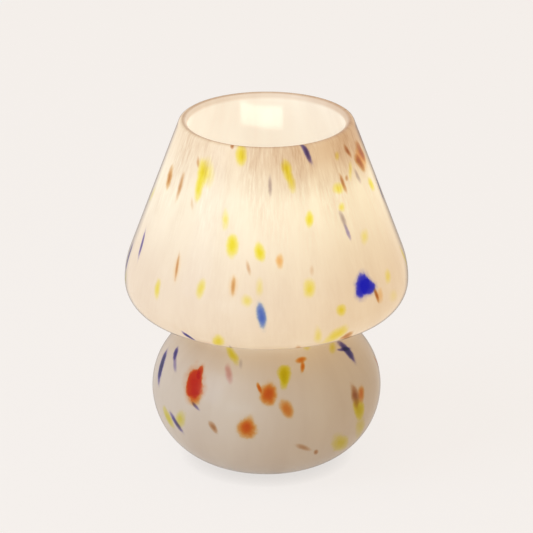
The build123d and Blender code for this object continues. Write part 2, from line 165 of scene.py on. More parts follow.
def area_light(name, size, power, colour, centre, direction, distance):
    """A rectangular light at a distance from centre in a direction, facing centre."""
    light = bpy.data.lights.new(name, "AREA")
    light.shape = "RECTANGLE"
    light.size, light.size_y = size
    light.energy, light.color = power, colour
    lamp = placed(name, light)
    place = direction / np.linalg.norm(direction)
    lamp.location = centre + place * distance
    lamp.rotation_euler = (pi / 2 - asin(place[2]), 0, atan2(place[0], -place[1]))
    return light


make_world()
make_paper()
area_light("softbox", softbox_size, softbox_power, softbox_colour, (0, 0, aim_height),
           softbox_direction, softbox_distance)
area_light("front_fill", fill_size, fill_power, fill_colour, (0, 0, aim_height),
           fill_direction, softbox_distance)
patch = area_light("patch_lamp", patch_size, patch_power, (1, 1, 1), patch_centre,
                   patch_direction, patch_distance)
patch.spread = patch_spread


# ---- Glass body ----
# One blown piece, shade, neck and bowl. White opal glass was rolled over chips of coloured
# glass, cased in clear glass and blown, which drew the chips out along the shade; the lip
# was melted round in the flame. Lengths in millimetres, points as radius + height * 1j.
mm = 0.001
shade_dia, mouth_dia, lip_curve = 180.0, 98.8, 3.0
overall_height = 227.5
upper_bulge_curve, lower_bulge_curve, underside_curve = 54.2, 18.8, 75.8
widest_above_neck = 29.3
neck_dia, neck_curve, neck_above_equator = 94.0, 6.0, 44.6
base_dia, equator_height = 146.6, 47.9
punt_dia, punt_depth, pad_thickness = 44.0, 1.6, 1.5
shade_wall, neck_wall, base_wall, bottom_wall = 4.0, 4.5, 5.0, 7.0
glass_segments = 240
outer_step, inner_step = 1.6, 4.0
inlet_height, inlet_hole_dia, hole_segments = 24.0, 9.9, 48

neck_centre = neck_dia / 2 + neck_curve + 1j * (equator_height + neck_above_equator)
widest_height = neck_centre.imag + widest_above_neck
lip_centre = mouth_dia / 2 + lip_curve + 1j * (overall_height - lip_curve)


def unit(z):
    """The direction of z, one long."""
    return z / abs(z)


def meeting(first, first_reach, second, second_reach):
    """The point at two given distances from two points, to the left of their line."""
    span = second - first
    step = (first_reach ** 2 - second_reach ** 2 + abs(span) ** 2) / (2 * abs(span))
    return first + unit(span) * (step + 1j * sqrt(first_reach ** 2 - step ** 2))


def glass_side(shade_in, neck_in, base_in, lip_side):
    """(start, end, centre) of each stretch of one face, from the equator up to the lip.

    Neighbouring arcs touch: their centres and the joint between them lie on one line.
    """
    equator = base_dia / 2 - base_in + 1j * equator_height
    hollow = neck_curve + neck_in
    run = equator.real - neck_centre.real
    shoulder = (run ** 2 + neck_above_equator ** 2 - hollow ** 2) / (2 * (hollow + run))
    shoulder_centre = equator - shoulder
    neck_low = neck_centre + unit(shoulder_centre - neck_centre) * hollow
    lower = lower_bulge_curve - shade_in
    lower_centre = shade_dia / 2 - lower_bulge_curve + 1j * widest_height
    under = underside_curve - shade_in
    under_centre = meeting(neck_centre, under + hollow, lower_centre, under - lower)
    neck_high = neck_centre + unit(under_centre - neck_centre) * hollow
    bulge_low = under_centre + unit(lower_centre - under_centre) * under
    widest = shade_dia / 2 - shade_in + 1j * widest_height
    upper = upper_bulge_curve - shade_in
    upper_centre = shade_dia / 2 - upper_bulge_curve + 1j * widest_height
    lip = lip_side * lip_curve
    span = lip_centre - upper_centre
    normal = unit(span) * np.exp(-1j * acos((upper - lip) / abs(span)))
    cone_low, cone_high = upper_centre + normal * upper, lip_centre + normal * lip
    return [(equator, neck_low, shoulder_centre), (neck_low, neck_high, neck_centre),
            (neck_high, bulge_low, under_centre), (bulge_low, widest, lower_centre),
            (widest, cone_low, upper_centre), (cone_low, cone_high, None)]


def trace(stretches, step):
    """Points about one step apart along lines and arcs, each arc a turn about its centre."""
    points = []
    for start, end, centre in stretches:
        turn = 0 if centre is None else np.angle((end - centre) / (start - centre))
        length = abs(end - start) if centre is None else abs(turn * (start - centre))
        share = np.linspace(0, 1, max(3, round(length / step)), endpoint=False)
        if centre is None:
            points.append(start + (end - start) * share)
        else:
            points.append(centre + (start - centre) * np.exp(1j * turn * share))
    return np.concatenate(points + [np.array([stretches[-1][1]])])


def glass_outline():
    """The sole, the outer side up to the lip's crest, and the inner face up to it again."""
    equator = base_dia / 2 + 1j * equator_height
    bowl_centre = equator - equator_height
    punt_top = 1j * (pad_thickness + punt_depth)
    punt_edge = punt_dia / 2 + 1j * pad_thickness
    punt_centre = punt_top - 1j * abs(punt_edge - punt_top) ** 2 / (2 * punt_depth)
    drop = equator_height - pad_thickness
    foot_edge = bowl_centre + sqrt(equator_height ** 2 - drop ** 2) - 1j * drop
    crest = lip_centre + 1j * lip_curve
    outward = glass_side(0, 0, 0, 1)
    inward = glass_side(shade_wall, neck_wall, base_wall, -1)
    floor_height = pad_thickness + bottom_wall
    inner_equator = inward[0][0]
    floor_centre = inner_equator - (equator_height - floor_height)
    floor_edge = floor_centre.real + 1j * floor_height
    sole = trace([(punt_top, punt_edge, punt_centre), (punt_edge, foot_edge, None)], outer_step)
    side = trace([(foot_edge, equator, bowl_centre)] + outward
                 + [(outward[-1][1], crest, lip_centre)], outer_step)
    inside = trace([(1j * floor_height, floor_edge, None),
                    (floor_edge, inner_equator, floor_centre)] + inward
                   + [(inward[-1][1], crest, lip_centre)], inner_step)
    return sole, side, inside


def add_mesh(name, points, faces):
    """A smooth-shaded object from points in millimetres."""
    mesh = bpy.data.meshes.new(name)
    mesh.from_pydata(points * mm, [], faces)
    mesh.shade_smooth()
    return placed(name, mesh)


def around(count):
    """Even turns round the axis, and the number of each and of the next one."""
    here = np.arange(count)
    return here * 2 * pi / count, here, (here + 1) % count


def revolve(name, outline, segments):
    """A closed mesh whose vertex (i, j) is outline point i turned by j / segments round Z.

    The first and last points lie on the axis and close the surface with fans.
    """
    turn, here, after = around(segments)
    ring = outline[1:-1]
    x = np.outer(ring.real, np.sin(turn))
    y = -np.outer(ring.real, np.cos(turn))
    z = np.repeat(ring.imag[:, None], segments, axis=1)
    sides = np.stack([x, y, z], axis=-1).reshape(-1, 3)
    poles = np.array([[0, 0, outline[0].imag], [0, 0, outline[-1].imag]])
    row = np.arange(len(ring) - 1)[:, None] * segments
    quads = np.stack([row + here, row + after, row + segments + after, row + segments + here],
                     axis=-1).reshape(-1, 4)
    top, low, high = (len(ring) - 1) * segments, len(sides), len(sides) + 1
    fans = np.concatenate([np.stack([after, here, np.full(segments, low)], axis=-1),
                           np.stack([top + here, top + after, np.full(segments, high)], axis=-1)])
    return add_mesh(name, np.concatenate([sides, poles]), quads.tolist() + fans.tolist())


def cut_out(body, tool):
    """Cuts tool out of body and removes tool."""
    cut = body.modifiers.new("cut", "BOOLEAN")
    cut.object, cut.solver, cut.operation = tool, "EXACT", "DIFFERENCE"
    cut_mesh = bpy.data.meshes.new_from_object(
        body.evaluated_get(bpy.context.evaluated_depsgraph_get()))
    body.modifiers.clear()
    body.data = cut_mesh
    bpy.data.objects.remove(tool)


def drill_inlet(body):
    """Cuts the round hole for the cord's grommet through the back of the bowl."""
    reach = base_dia / 2 - equator_height
    fall = asin((equator_height - inlet_height) / equator_height)
    outward = np.array([0, cos(fall), -sin(fall)])
    across = np.array([0, sin(fall), cos(fall)])
    turn, here, after = around(hole_segments)
    circle = np.outer(np.cos(turn), [1, 0, 0]) + np.outer(np.sin(turn), across)
    circle *= inlet_hole_dia / 2
    middle = np.array([0, reach, equator_height]) + outward * equator_height
    points = np.concatenate([circle + middle - outward * 2 * base_wall,
                             circle + middle + outward * base_wall])
    wall = np.stack([here, here + hole_segments, after + hole_segments, after], axis=-1)
    ends = [here.tolist(), (here[::-1] + hole_segments).tolist()]
    drill = add_mesh("drill", points, wall.tolist() + ends)
    cut_out(body, drill)


sole_line, side_line, inside_line = glass_outline()
whole_line = np.concatenate([sole_line[:-1], side_line, inside_line[-2::-1]])
glass = revolve("blown_glass", whole_line, glass_segments)
drill_inlet(glass)


# ---- Coloured chips in the glass ----
# Crushed coloured glass picked up on the hot opal and stretched as the piece was blown. Each
# chip is a thin lens of clear colour: its thin edge tints the white, its middle is deep.

# Each colour: the share of red, green and blue light that it lets through, the softness of
# its edge, and its chips as (degrees from the front, height, width, length, lean, thickness).
chips_by_hand = {
    "yellow": ((0.93, 0.90, 0.12), 0.75, [
        (-16, 223, 5, 10, -7, 1), (48, 217, 3, 4, 35, 0.4), (12, 215, 4.5, 10, -8, 1),
        (-36, 210, 6.5, 13.5, -15, 0.35), (-40, 209, 6, 13, -12, 1), (14, 208, 4, 9.5, -11, 0.6),
        (56, 206, 3, 8.5, 29, 0.3), (-40, 199, 4.5, 11, -7, 0.8), (43, 199, 6.5, 5, 8, 0.6),
        (74, 191, 5.5, 8, -30, 0.8), (42, 188, 4, 4.5, 36, 0.5), (-21, 185, 3.5, 9, -6, 0.4),
        (22, 185, 4, 7, 8, 0.9), (-16, 171, 5.5, 10.5, -3, 1.1), (-3, 168, 5, 8.5, -8, 1.1),
        (52, 167, 5.5, 7, 38, 0.3), (-3, 148, 3.5, 8.5, -1, 0.25), (18, 146, 6, 8.5, 6, 0.65),
        (-28, 144, 4.5, 9, 8, 0.6), (-8, 140, 5, 5.5, -2, 0.4), (60, 139, 5, 7, 40, 0.4),
        (-50, 136, 4, 9, -6, 0.6), (31, 130, 5, 5.5, -20, 0.8), (62, 125, 6, 9, -60, 0.15),
        (21, 115, 4, 11, -12, 0.35), (29, 113, 8, 13, 55, 0.7), (-20, 111, 5.5, 10.5, 24, 0.9),
        (-25, 87, 4, 12.5, -43, 0.9), (53, 86, 4, 8, 60, 0.6), (11, 80, 6, 8.5, 11, 1.8),
        (10, 77, 4, 9, 7, 1.5), (53, 49, 7, 11, -32, 2), (-48, 44, 6, 11, 31, 0.6),
        (-59, 40, 6, 11, -40, 0.9), (57, 34, 7, 17, -29, 0.5), (43, 28, 8, 17, -44, 0.9)]),
    "orange": ((0.84, 0.19, 0.014), 0.50, [
        (73, 209, 11, 15, -45, 0.28), (6, 163, 4, 7, 2, 0.24), (-42, 151, 5, 14, -4, 0.06),
        (52, 131, 5, 7.5, 1, 0.14), (-14, 148, 5, 11, -2, 0.07), (24, 85, 3.5, 6, 80, 0.62),
        (23, 82, 2.5, 6.5, 23, 0.65), (-4, 73, 2, 5.5, -23, 0.8), (1, 70, 8.5, 11, 0, 0.9),
        (-39, 62, 7, 9, -9, 0.6), (10, 61, 6.5, 10, -28, 0.55), (56, 58, 6, 9, 19, 0.55),
        (-9, 52, 5.5, 9, 9, 0.3), (-10, 48, 9.5, 10.5, 29, 0.75)]),
    "tawny": ((0.62, 0.33, 0.13), 0.60, [
        (76, 211, 6.5, 12.5, -28, 1), (68, 207, 5.5, 11, -29, 1.1), (-67, 198, 5.5, 11, -9, 0.95),
        (-14, 148, 2.2, 9, -2, 0.5), (50, 132, 2.5, 7.5, -14, 1.2), (35, 110, 5, 7, 55, 0.95)]),
    "red": ((0.75, 0.034, 0.003), 0.24, [
        (-42, 69, 12, 18, -22, 0.9), (-41, 76, 4.5, 9, -12, 0.6)]),
    "brown": ((0.50, 0.23, 0.10), 0.62, [
        (-23, 227, 2, 3, -29, 0.7), (59, 217, 3, 7.5, -25, 0.75), (-45, 214, 2, 5.5, -18, 0.35),
        (51, 203, 2.5, 3, 32, 0.4), (47, 201, 2.5, 9.5, -7, 0.7), (-54, 197, 3, 14, -1, 0.48),
        (-42, 190, 2, 6, -21, 0.15), (-8, 159, 2, 7.5, -16, 0.28), (20, 156, 2.5, 5, 7, 0.12),
        (-42, 152, 1.8, 13, -6, 0.45), (14, 106, 3, 8.5, -18, 0.35), (51, 59, 5.5, 12, -4, 0.9),
        (-27, 46, 3.5, 7, -38, 0.6), (19, 33, 3, 10.5, -58, 0.38), (27, 27, 2.5, 4, -21, 0.55)]),
    "navy": ((0.075, 0.060, 0.38), 0.42, [
        (26, 223, 3, 12.5, -19, 0.68), (42, 173, 2.4, 10, -11, 0.27),
        (-72, 153, 3, 15, -14, 0.6), (-34, 110, 3, 7.5, -43, 1.1),
        (61, 83, 2.5, 10, -70, 0.7), (62, 82, 5.5, 13.5, 6, 0.95), (-69, 78, 3.5, 9, -50, 0.85),
        (-63, 74, 3, 10.5, -53, 0.25), (-76, 67, 5.5, 17, -30, 1.5), (-38, 57, 2, 6, -61, 0.38),
        (-52, 40, 4, 13, -46, 0.6)]),
    "grey": ((0.25, 0.20, 0.25), 0.62, [
        (2, 206, 2, 10.5, 0, 0.34), (61, 201, 3, 8.5, -14, 0.3), (41, 181, 3, 9, -12, 0.35),
        (-17, 84, 2, 6, -15, 0.15)]),
    "blue": ((0.027, 0.030, 1.0), 0.28, [(43, 141, 9, 14, 30, 1), (46, 139, 8.5, 11.5, -77, 1)]),
    "light_blue": ((0.12, 0.24, 0.92), 0.40, [(-2, 131, 4.5, 13.5, -9, 0.9)]),
    "rose": ((0.85, 0.55, 0.55), 0.60, [(-23, 79, 3.5, 11.5, -27, 0.9)]),
}
scattered_seed = 11
scattered_kinds = ["yellow", "orange", "brown", "navy", "grey", "blue", "red"]
scattered_odds = [0.34, 0.22, 0.14, 0.12, 0.08, 0.06, 0.04]
scattered_sizes = {"yellow": (5, 11), "orange": (4, 9), "brown": (2.6, 9), "navy": (3.2, 12),
                   "grey": (2.5, 11), "blue": (7, 11), "red": (8, 14), "tawny": (4, 10)}
scattered_tries, scattered_room = 420, 11.0
scattered_heights, scattered_stretch = (14, 224), (0.6, 1.35)
scattered_thickness, thickness_odds = [0.35, 0.7, 1.0], [0.3, 0.3, 0.4]
lean_on_shade, lean_on_bowl = 16, 38    # spread of the chips' lean, in degrees
hand_placed_width = 80.0                # degrees each side of the front, where the chips are listed one by one
hidden_low, hidden_high = 90, 106       # heights that the shade hides from the front
lining_depth = 2.0                      # deeper than this is the plain white lining
chip_reach = 3.0
chip_layers = 3

side_run = np.concatenate([[0], np.cumsum(abs(np.diff(side_line)))])


def run_at(height):
    """Length along the outer face from the foot up to a height."""
    return np.interp(height, side_line.imag, side_run)


def radius_at(height):
    """Radius of the outer face at a height."""
    return np.interp(height, side_line.imag, side_line.real)


def scatter_chips():
    """Seeded random chips round the sides and back, each with room of its own."""
    dice = np.random.default_rng(scattered_seed)
    placed = []
    for _ in range(scattered_tries):
        angle, height = dice.uniform(-180, 180), dice.uniform(*scattered_heights)
        kind = scattered_kinds[dice.choice(len(scattered_kinds), p=scattered_odds)]
        stretch = dice.uniform(*scattered_stretch, 2)
        on_shade = height > neck_centre.imag
        lean = dice.normal(0, lean_on_shade if on_shade else lean_on_bowl)
        thickness = dice.choice(scattered_thickness, p=thickness_odds)
        if on_shade and kind in ("orange", "red"):
            kind = "tawny"
        hidden = abs(angle) > hand_placed_width or hidden_low < height < hidden_high
        near = [abs(height - z) < scattered_room
                and radians(abs((angle - a + 180) % 360 - 180)) * radius_at(height) < scattered_room
                for a, z in placed]
        if hidden and not any(near):
            placed.append((angle, height))
            width, length = scattered_sizes[kind] * stretch
            yield kind, (angle, height, width, length, lean, thickness)


def chip_table():
    """Rows of angle, run, half width, half length, lean, softness and colour let through."""
    rows = [(kind, row) for kind, (_, _, chips) in chips_by_hand.items() for row in chips]
    rows += list(scatter_chips())
    table = []
    for kind, (angle, height, width, length, lean, thickness) in rows:
        colour, softness, _ = chips_by_hand[kind]
        table.append([radians(angle), run_at(height), width / 2, length / 2, radians(lean),
                      softness, *np.array(colour) ** thickness])
    return np.array(table)


def chip_place(angle, run, radius, chip):
    """Place on the glass in chip widths across and chip lengths along a leaning chip."""
    turn = (angle - chip[..., 0] + pi) % (2 * pi) - pi
    right, up = turn * radius, run - chip[..., 1]
    lean = chip[..., 4]
    across = (right * np.cos(lean) - up * np.sin(lean)) / chip[..., 2]
    along = (right * np.sin(lean) + up * np.cos(lean)) / chip[..., 3]
    return across, along


def round_place(points):
    """Angle from the front, run up the outer face and radius of points in millimetres."""
    x, y, z = points.T
    return np.arctan2(x, -y), run_at(z), np.hypot(x, y)


def read(collection, name, kind=np.float32, width=1):
    """One field of all the items of a mesh collection."""
    values = np.empty(len(collection) * width, kind)
    collection.foreach_get(name, values)
    return values.reshape(-1, width) if width > 1 else values


def write(mesh, name, kind, domain, values):
    """A new attribute: a vector or a value for each item of the domain."""
    made = mesh.attributes.new(name, kind, domain)
    field = "vector" if kind == "FLOAT_VECTOR" else "value"
    made.data.foreach_set(field, values.astype(np.float32).ravel())


def mark_chips(body):
    """Gives each face its nearest chips: where it lies in each, and the colour of each.

    chip_0 to chip_2 hold (across, along, softness) and tint_0 to tint_2 the colour.
    """
    mesh, chips = body.data, chip_table()
    centre = read(mesh.polygons, "center", width=3) / mm
    angle, run, radius = round_place(centre)
    across, along = chip_place(angle[:, None], run[:, None], radius[:, None], chips[None])
    reach = np.hypot(across, along)
    reach[radius < radius_at(centre[:, 2]) - lining_depth] = 2 * chip_reach
    nearest = np.argsort(reach, axis=1)[:, :chip_layers]
    in_reach = np.take_along_axis(reach, nearest, axis=1) < chip_reach
    sizes = read(mesh.polygons, "loop_total", np.int32)
    corner = read(mesh.loops, "vertex_index", np.int32)
    angle, run, radius = round_place(read(mesh.vertices, "co", width=3)[corner] / mm)
    for layer in range(chip_layers):
        chosen = np.repeat(nearest[:, layer], sizes)
        chip, used = chips[chosen], np.repeat(in_reach[:, layer], sizes)[:, None]
        across, along = chip_place(angle, run, radius, chip)
        place = np.stack([across, along, chip[:, 5]], axis=-1)
        place = np.where(used, place, (chip_reach, chip_reach, 0.5))
        tint = np.where(used, chip[:, 6:9], 1.0)
        write(mesh, f"chip_{layer}", "FLOAT_VECTOR", "CORNER", place)
        write(mesh, f"tint_{layer}", "FLOAT_VECTOR", "CORNER", tint)


mark_chips(glass)


# ---- Opal glass: colour, glow and gloss ----
# Milky glass lit from inside by the bulb: even and warm where the wall is near the bulb, and
# pinker where it is far, with fine fibres drawn up the cone. Below the steel plate no light
# reaches it, so the bowl shows the glass's own beige white. The clear casing is glossy.
bulb_centre_height = 181.55
opal = (0.58, 0.50, 0.42)
glow_near, glow_far = (0.475, 0.445, 0.318, 1), (0.300, 0.229, 0.144, 1)
glow_inside = (0.435, 0.43, 0.385, 1)
glow_reach, most_glow = 70.0, 1.3
seep_height, seep_radius = 92.5, neck_dia / 2 - 2
seep_run, seep_share, lit_from = 16.0, 0.7, 6.0
painted_glow_side, painted_glow_share = radians(72), 0.15   # painted light: on this side the glow is brighter outside, dimmer inside
lip_reach, lip_fade, crest_slack = 5.0, 1.2, 0.4    # rim without white lining
lip_share, lip_more = 0.42, 0.25
crest_shade_reach = 1.3                           # painted shade: a grey line along the rim's crest
smear_side, smear_share = radians(72), 0.7  # brown was smeared under the rim on this side
smear_low, smear_run = 196.0, 22.0
streak_pink, streak_white = (0.79, 0.69, 0.62), (1.01, 1.03, 1.05)
cloud_light, cloud_dark = (1.02, 1.02, 1.01, 1), (0.97, 0.95, 0.93, 1)
top_tint, lip_tint, crest_shade_tint = (0.94, 0.88, 0.83), (0.66, 0.48, 0.345), (0.85, 0.82, 0.80)
fibre_heights, neck_heights, top_heights = (0.17, 0.218), (0.098, 0.115), (0.198, 0.222)
fine_fibres = (0.26, 430.0, 3.0, 0.65)      # squash along the fibres, scale, detail, roughness
tuft_fibres, cloud_fibres = (0.5, 55.0, 2.0, 0.5), (0.4, 42.0, 3.0, 0.55)
chip_ripple, chip_wobble = (130.0, 4.0, 0.6), 1.15
skirt_edges, core_edges = (1.8, 0.8), (0.8, 0.15)
body_depth, skirt_depth, core_depth = 0.8, 0.14, 0.3
unlit_slant, dark_slant, lined_from, edge_dark = (0.76, 0.88), (0.83, 0.93), (-0.93, -0.78), 0.62
opal_specular, opal_coat = 0.12, 0.13


def facing_side(points, side):
    """Cosine of the turn round Z between each point and a side of the lamp."""
    return np.cos(np.arctan2(points[:, 0], -points[:, 1]) - side)


def light_share(points, normals, outside):
    """Lit or not, and the bulb's light: the cosine of its slant over its distance squared.

    Light seeps past the plate inside the glass and dies away down the bowl's shoulder. Toward one
    side the outer glow is painted brighter and the inner glow dimmer, as painted light from there.
    """
    away = points - np.array([0, 0, bulb_centre_height])
    distance = np.linalg.norm(away, axis=1)
    slant = abs((away * normals).sum(axis=1)) / distance
    direct = slant * (glow_reach / distance) ** 2
    radius = np.hypot(points[:, 0], points[:, 1])
    way = np.hypot(radius - seep_radius, points[:, 2] - seep_height)
    way = np.where(points[:, 2] > seep_height, way, -way)
    rise = np.clip((way + lit_from) / seep_run, 0, 1)
    seep = seep_share * np.exp(np.minimum(way, 0) / seep_run)
    # Painted light: the outer glow is brighter, and the inner one dimmer, toward one side.
    painted_side_glow = 1 + painted_glow_share * np.where(outside, 1, -1) * facing_side(points, painted_glow_side)
    return np.maximum(rise ** 2 * (3 - 2 * rise), seep) * painted_side_glow, np.clip(direct, 0, most_glow)


def mark_glow(body):
    """glow is (lit or not, nearness to the bulb, brown of the rim and of the smear below it).

    outside is 1 on the outer face and 0 on the white lining; crest is a bell curve of the
    way from the rim's highest line, which carries a grey ring of painted shade.
    """
    mesh = body.data
    point = read(mesh.vertices, "co", width=3) / mm
    normal = read(mesh.vertex_normals, "vector", width=3)
    radius = np.hypot(point[:, 0], point[:, 1])
    outside = radius > radius_at(point[:, 2]) - lining_depth
    lit, near = light_share(point, normal, outside)
    crest = lip_centre + 1j * lip_curve
    way = abs(radius + 1j * point[:, 2] - crest)
    rim = np.clip((lip_reach - way) / lip_fade, 0, 1) * (radius < crest.real + crest_slack)
    side = np.clip(facing_side(point, smear_side), 0, 1)
    smear = side * outside * np.clip((point[:, 2] - smear_low) / smear_run, 0, 1)
    lip = np.maximum((lip_share + lip_more * side) * rim, smear_share * smear)
    write(mesh, "glow", "FLOAT_VECTOR", "POINT", np.stack([lit, near, lip], axis=-1))
    write(mesh, "outside", "FLOAT", "POINT", outside)
    write(mesh, "crest", "FLOAT", "POINT", np.exp(-(way / crest_shade_reach) ** 2))


def new_group(name, inputs, outputs):
    """An empty shader node group with its group input and output nodes."""
    group = bpy.data.node_groups.new(name, "ShaderNodeTree")
    for way, sockets in (("INPUT", inputs), ("OUTPUT", outputs)):
        for label, kind in sockets:
            group.interface.new_socket(label, in_out=way, socket_type="NodeSocket" + kind)
    return group, group.nodes.new("NodeGroupInput"), group.nodes.new("NodeGroupOutput")


def scaled(tree, vector, by):
    """A vector or colour times another, part by part."""
    return put(tree, "VectorMath", {0: vector, 1: by}, operation="MULTIPLY").outputs[0]


def tinted(tree, colour, share, tint):
    """colour, multiplied by tint where share is 1."""
    return scaled(tree, colour, blended(tree, share, (1, 1, 1, 1), (*tint, 1)))


def attribute(tree, name, output="Vector"):
    """Output of a mesh attribute."""
    return put(tree, "Attribute", attribute_name=name).outputs[output]


def make_chip_group():
    """Colour that one chip lets through: its tint to the power of its thickness here.

    Its body, its thin skirt and its deep core each thicken from an edge to a full line, both
    in chip sizes from the middle.
    """
    group, into, out = new_group("chip", [("Place", "Vector"), ("Tint", "Vector"),
                                          ("Ripple", "Vector")], [("Colour", "Vector")])
    flat = scaled(group, into.outputs["Place"], (1, 1, 0))
    moved = put(group, "VectorMath", {0: flat, 1: into.outputs["Ripple"]}, operation="ADD")
    reach = put(group, "VectorMath", {0: moved}, operation="LENGTH").outputs["Value"]
    softness = put(group, "SeparateXYZ", {0: into.outputs["Place"]}).outputs["Z"]
    outer, inner = maths(group, "ADD", 1.0, softness), maths(group, "SUBTRACT", 1.0, softness)
    thick = 0.0
    for (edge, full), depth in (((outer, inner), body_depth), (skirt_edges, skirt_depth),
                                (core_edges, core_depth)):
        layer = put(group, "MapRange", {0: reach, 1: edge, 2: full, 3: 0.0, 4: depth},
                    interpolation_type="SMOOTHSTEP")
        thick = maths(group, "ADD", thick, layer)
    through = put(group, "VectorMath", {0: into.outputs["Tint"], 1: thick}, operation="POWER")
    group.links.new(through.outputs[0], out.inputs["Colour"])
    return group


def noise(tree, vector, scale, detail=2.0, roughness=0.5, output="Fac"):
    return put(tree, "TexNoise", {"Vector": vector, "Scale": scale, "Detail": detail,
                                  "Roughness": roughness}).outputs[output]


def surface(tree, sockets):
    """The material's surface, as a principled shader with these inputs."""
    put(tree, "OutputMaterial", {"Surface": put(tree, "BsdfPrincipled", sockets)})


def ranged(tree, value, low, high, to_low, to_high):
    """value from low..high to to_low..to_high, held at the ends."""
    return put(tree, "MapRange", {0: value, 1: low, 2: high, 3: to_low, 4: to_high}).outputs[0]


def make_opal():
    """White glass with its chips, fibres, rim and glow, its outer face darker seen edge on."""
    material, tree = new_material("opal_glass")
    where = put(tree, "TexCoord")
    place = where.outputs["Object"]
    height = put(tree, "SeparateXYZ", {0: place}).outputs["Z"]
    outside = attribute(tree, "outside", "Fac")
    glow = put(tree, "SeparateXYZ", {0: attribute(tree, "glow")})

    ripple = noise(tree, place, *chip_ripple, "Color")
    ripple = put(tree, "VectorMath", {0: ripple, 1: (0.5, 0.5, 0.5)}, operation="SUBTRACT")
    ripple = scaled(tree, ripple, (chip_wobble, chip_wobble, 0))
    chip, through = make_chip_group(), None
    for layer in range(chip_layers):
        passed = put(tree, "Group", {
            "Place": attribute(tree, f"chip_{layer}"), "Tint": attribute(tree, f"tint_{layer}"),
            "Ripple": ripple}, node_tree=chip).outputs[0]
        through = passed if through is None else scaled(tree, through, passed)

    spoke = put(tree, "VectorMath", {0: scaled(tree, place, (1, 1, 0))}, operation="NORMALIZE")
    rise = scaled(tree, place, (0, 0, 0.9))
    meridian = put(tree, "VectorMath", {0: spoke, 1: (0.09, 0.09, 0.09), 2: rise},
                   operation="MULTIPLY_ADD").outputs[0]
    fine, tufts, cloud = [
        noise(tree, put(tree, "Mapping", {0: meridian, 3: (1, 1, squash)}), *grain)
        for squash, *grain in (fine_fibres, tuft_fibres, cloud_fibres)]
    drawn_out = product(tree, ranged(tree, height, *fibre_heights, 0.15, 1), outside)
    drawn_out = product(tree, drawn_out, ranged(tree, height, *neck_heights, 0, 1))
    tuft = product(tree, ranged(tree, tufts, 0.36, 0.6, 0.15, 1), drawn_out)
    pink = product(tree, ranged(tree, fine, 0.29, 0.71, 0, 1), tuft)
    white = product(tree, ranged(tree, fine, 0.50, 0.36, 0, 1), tuft)
    top = product(tree, ranged(tree, height, *top_heights, 0, 1), outside)
    veil = blended(tree, ranged(tree, cloud, 0.35, 0.65, 0, 1), cloud_light, cloud_dark)
    # The crest's grey ring is painted shade, like the dark line of an edge seen side on.
    for share, colour in ((pink, streak_pink), (white, streak_white), (top, top_tint),
                          (glow.outputs["Z"], lip_tint),
                          (attribute(tree, "crest", "Fac"), crest_shade_tint)):
        veil = tinted(tree, veil, share, colour)
    tint = scaled(tree, veil, through)

    body = scaled(tree, opal, tint)
    near = ranged(tree, glow.outputs["Y"], 0.3, 1.0, 0, 1)
    light = blended(tree, outside, glow_inside, blended(tree, near, glow_far, glow_near))
    light = scaled(tree, light, tint)
    slant = put(tree, "LayerWeight", {0: 0.5}).outputs["Facing"]
    upright = put(tree, "SeparateXYZ", {0: where.outputs["Normal"]}).outputs["Z"]
    lined = product(tree, ranged(tree, upright, *lined_from, 0, 1), outside)
    unlit = product(tree, ranged(tree, slant, *unlit_slant, 0, 1), lined)
    dark = product(tree, ranged(tree, slant, *dark_slant, 0, 1), lined)
    body = tinted(tree, body, dark, (edge_dark, edge_dark, edge_dark))
    shown = product(tree, glow.outputs["X"], maths(tree, "SUBTRACT", 1.0, unlit))
    light = put(tree, "VectorMath", {0: light, 3: shown}, operation="SCALE")

    bump = put(tree, "Bump", {"Height": noise(tree, place, 30.0, 1.0), "Distance": 0.0006,
                              "Strength": 0.5})
    surface(tree, {
        "Base Color": body, "Roughness": ranged(tree, cloud, 0.3, 0.7, 0.28, 0.36), "IOR": 1.5,
        "Specular IOR Level": opal_specular, "Coat Weight": opal_coat, "Coat Roughness": 0.1,
        "Emission Color": light, "Emission Strength": 1.0, "Normal": bump})
    return material


def settle(piece, body, node, material):
    """Puts a new piece in a CAD node's place, on its body, in its slot's finish."""
    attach(piece, body)
    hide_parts(node)
    piece.data.materials.clear()
    piece.data.materials.append(material)


mark_glow(glass)
settle(glass, "root", "glass_body", make_opal())


# ---- Felt foot pad ----
# A ring of pressed wool felt, glued under the bowl so that the glass doesn't scratch the
# table. Its cut edges are soft and its faces are slightly uneven.
felt_inner, felt_outer, felt_thickness, felt_round = 24.0, 34.2, 1.5, 0.45
felt_unevenness, felt_seed, felt_segments = 0.125, 5, 288
felt_waves, felt_turns, felt_tilts = 14, (3, 60), (0.6, 6.0)


def lathe(name, outline, segments, swell=None):
    """A ring: a closed outline of radius + height * 1j points turned round Z.

    swell(outline points, turn) gives millimetres that are added to the radius.
    """
    turn, here, after = around(segments)
    radius, height = np.broadcast_arrays(outline.real[:, None], outline.imag[:, None])
    radius = radius + (0 if swell is None else swell(outline[:, None], turn[None]))
    x, y = radius * np.sin(turn), -radius * np.cos(turn)
    points = np.stack([x, y, np.broadcast_to(height, x.shape)], axis=-1).reshape(-1, 3)
    row = np.arange(len(outline))[:, None] * segments
    above = (row + segments) % (len(outline) * segments)
    quads = np.stack([row + here, row + after, above + after, above + here], axis=-1)
    return add_mesh(name, points, quads.reshape(-1, 4).tolist())


def section(*pairs):
    """Outline points from pairs of radius and height."""
    return [radius + height * 1j for radius, height in pairs]


def drawn(*corners, step=1.0):
    """Points at most step apart along a closed run of straight lines, anticlockwise."""
    stretches = zip(corners, corners[1:] + corners[:1])
    return np.concatenate([np.linspace(a, b, max(2, int(abs(b - a) / step) + 2))[:-1]
                           for a, b in stretches])


